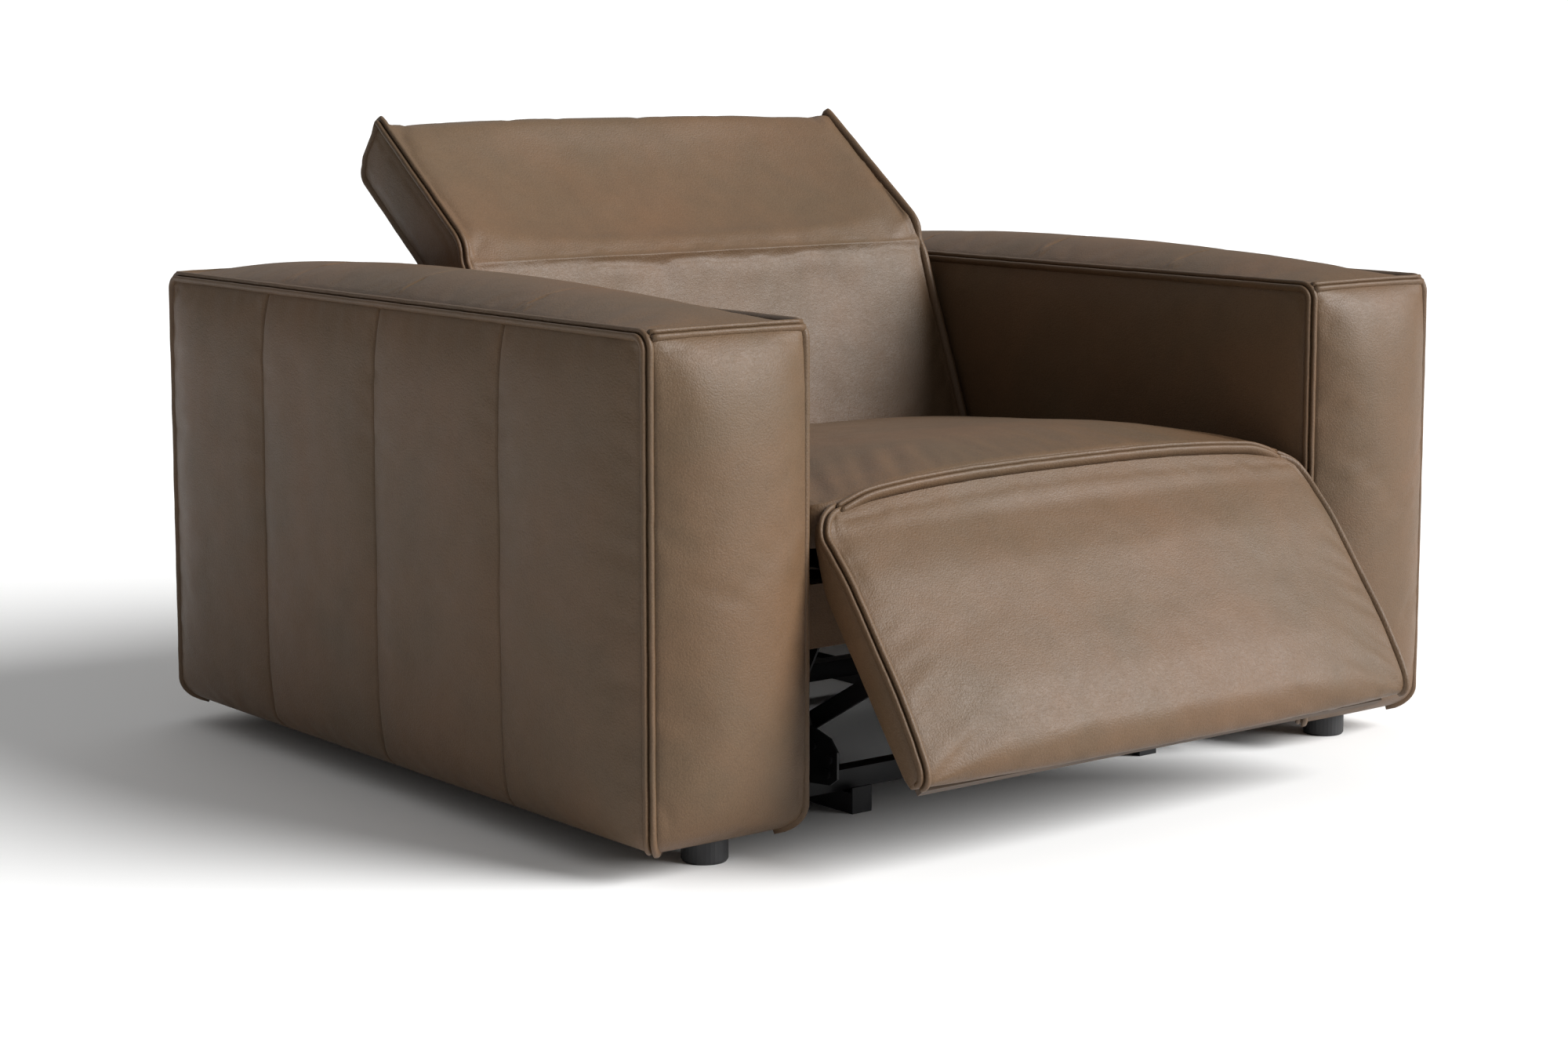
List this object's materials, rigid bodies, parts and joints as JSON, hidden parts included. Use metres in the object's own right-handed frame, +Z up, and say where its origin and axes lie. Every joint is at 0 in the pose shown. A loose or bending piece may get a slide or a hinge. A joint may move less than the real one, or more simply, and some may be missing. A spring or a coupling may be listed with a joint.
{
  "type": "recliner armchair",
  "caption": "Wide power recliner armchair with padded track arms, flanged seams, a tilting headrest, a reclining back and a motor-driven footrest.",
  "frame": {"origin": "on the floor, under the middle of the chair's overall width and depth at rest", "axes": "+X to the right as seen from the front, +Y to the back of the chair, +Z up"},
  "size_m": [1.274, 1.2844, 0.8106],
  "materials": {
    "leather": "satin pebbled grain",
    "wood": "raw plywood and rail stock",
    "black_steel": "black powder coat",
    "zinc_steel": "zinc plated",
    "black_plastic": "moulded black",
    "deck_cloth": "black non-woven cloth"
  },
  "bodies": {
    "frame": {"arm_left_cover": "leather", "arm_left_frame": "wood", "arm_right_cover": "leather", "arm_right_frame": "wood", "foot_front_left": "black_plastic", "foot_rear_left": "black_plastic", "foot_front_right": "black_plastic", "foot_rear_right": "black_plastic", "base_rail_left": "black_steel", "arm_mount_rail_left": "black_steel", "base_rail_right": "black_steel", "arm_mount_rail_right": "black_steel", "cross_tube_front": "black_steel", "cross_tube_rear": "black_steel", "rear_panel": "leather", "dc_inlet": "black_plastic", "side_plate_left": "black_steel", "back_pivot_pin_left": "zinc_steel", "side_plate_right": "black_steel", "back_pivot_pin_right": "zinc_steel", "seat_front_rail": "wood", "seat_rear_rail": "wood", "seat_front_cover": "leather", "seat_deck_cloth": "deck_cloth", "seat_spring_grid": "zinc_steel", "seat_cushion": "leather", "footrest_hinge_arm_left": "black_steel", "footrest_hinge_arm_right": "black_steel", "actuator_channel": "zinc_steel", "actuator_motor": "black_plastic", "control_bezel": "black_plastic"},
    "footrest": {"footrest_pad": "leather", "footrest_board": "wood", "footrest_bracket_left": "black_steel", "footrest_bracket_right": "black_steel"},
    "drive_shaft": {"torque_tube": "zinc_steel", "crank_left": "black_steel", "crank_right": "black_steel", "drive_lever": "black_steel"},
    "coupler_bar_left": {"coupler_left": "black_steel"},
    "coupler_bar_right": {"coupler_right": "black_steel"},
    "carriage": {"actuator_carriage": "black_plastic"},
    "backrest": {"back_cushion": "leather", "back_rear_cover": "leather", "back_side_frame_left": "black_steel", "back_side_frame_right": "black_steel", "back_top_rail": "black_steel", "back_bottom_rail": "black_steel", "headrest_motor": "black_plastic"},
    "yoke": {"headrest_yoke": "zinc_steel"},
    "headrest": {"headrest_cushion": "leather", "headrest_board": "wood", "headrest_rear_cover": "leather", "headrest_hinge_arm_left": "black_steel", "headrest_hinge_arm_right": "black_steel", "headrest_lever": "black_steel"},
    "key_footrest_open": {"button_footrest_open": "black_plastic"},
    "key_footrest_close": {"button_footrest_close": "black_plastic"},
    "key_headrest_up": {"button_headrest_up": "black_plastic"},
    "key_headrest_down": {"button_headrest_down": "black_plastic"}
  },
  "joints": [
    {"name": "footrest_hinge", "type": "hinge", "parent": "frame", "child": "footrest", "pos_m": [0, -0.42575, 0.354], "axis": [-1, 0, 0], "range_deg": [-34, 54]},
    {"name": "crank_turn", "type": "hinge", "parent": "frame", "child": "drive_shaft", "pos_m": [0, -0.19575, 0.224], "axis": [-1, 0, 0], "range_deg": [-34, 54]},
    {"name": "coupler_pivot_left", "type": "hinge", "parent": "drive_shaft", "child": "coupler_bar_left", "pos_m": [-0.311, -0.24452, 0.07359], "axis": [-1, 0, 0], "range_deg": [-54, 34]},
    {"name": "coupler_pivot_right", "type": "hinge", "parent": "drive_shaft", "child": "coupler_bar_right", "pos_m": [0.311, -0.24452, 0.07359], "axis": [-1, 0, 0], "range_deg": [-54, 34]},
    {"name": "carriage_slide", "type": "slide", "parent": "frame", "child": "carriage", "axis": [0, -1, 0], "range_m": [-0.0341, 0.0541]},
    {"name": "back_recline", "type": "hinge", "parent": "frame", "child": "backrest", "pos_m": [0, 0.22225, 0.31], "axis": [-1, 0, 0], "range_deg": [-5, 28]},
    {"name": "headrest_tilt", "type": "hinge", "parent": "backrest", "child": "headrest", "pos_m": [0, 0.33425, 0.631], "axis": [-1, 0, 0], "range_deg": [-40, 12]},
    {"name": "yoke_slide", "type": "slide", "parent": "backrest", "child": "yoke", "axis": [0, 0.3633, 0.9317], "range_m": [-0.0093, 0.0308]},
    {"name": "press_footrest_open", "type": "slide", "parent": "frame", "child": "key_footrest_open", "axis": [-1, 0, 0], "range_m": [0, 0.0015], "stiffness_N_per_m": 900, "springref_m": -0.0004},
    {"name": "press_footrest_close", "type": "slide", "parent": "frame", "child": "key_footrest_close", "axis": [-1, 0, 0], "range_m": [0, 0.0015], "stiffness_N_per_m": 900, "springref_m": -0.0004},
    {"name": "press_headrest_up", "type": "slide", "parent": "frame", "child": "key_headrest_up", "axis": [-1, 0, 0], "range_m": [0, 0.0015], "stiffness_N_per_m": 900, "springref_m": -0.0004},
    {"name": "press_headrest_down", "type": "slide", "parent": "frame", "child": "key_headrest_down", "axis": [-1, 0, 0], "range_m": [0, 0.0015], "stiffness_N_per_m": 900, "springref_m": -0.0004}
  ],
  "couplings": [
    {"joint": "crank_turn", "follows": "footrest_hinge", "ratio": 1},
    {"joint": "coupler_pivot_left", "follows": "footrest_hinge", "ratio": -1},
    {"joint": "coupler_pivot_right", "follows": "footrest_hinge", "ratio": -1},
    {"joint": "carriage_slide", "follows": "footrest_hinge", "m_per_rad": 0.05735},
    {"joint": "yoke_slide", "follows": "headrest_tilt", "m_per_rad": -0.0439}
  ]
}
